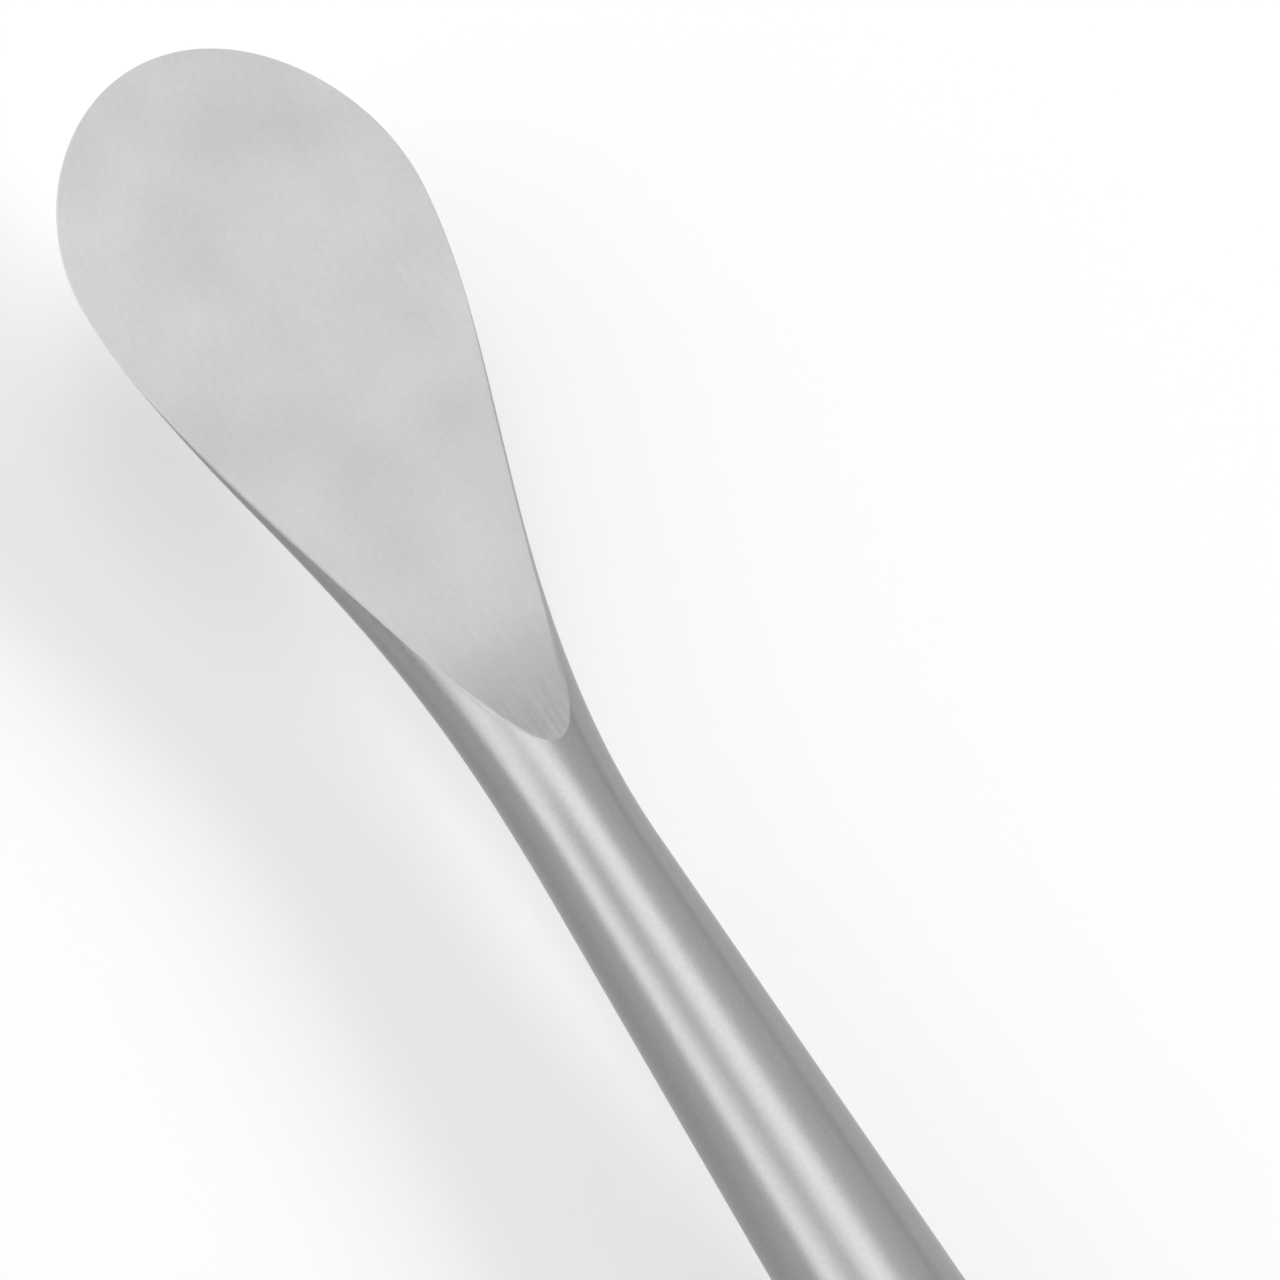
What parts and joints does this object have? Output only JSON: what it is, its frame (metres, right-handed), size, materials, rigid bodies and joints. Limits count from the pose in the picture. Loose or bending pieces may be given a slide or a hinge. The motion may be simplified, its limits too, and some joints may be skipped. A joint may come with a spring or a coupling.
{
  "type": "spinal elevator",
  "caption": "Steel surgical elevator: a rounded, gently hollow blade on a round waisted shank with an octagonal grip, for lifting tissue off bone.",
  "frame": {"origin": "under the middle of the length, on the plane that the grip's lowest flat rests on", "axes": "+X along the shank towards the blade's tip, +Z out of the blade's hollow face, Y = 0 the plane of symmetry"},
  "size_m": [0.28, 0.025, 0.016],
  "materials": {
    "satin_steel": "satin stainless steel, finely brushed along its length"
  },
  "bodies": {
    "root": {"elevator": "satin_steel"}
  },
  "joints": []
}
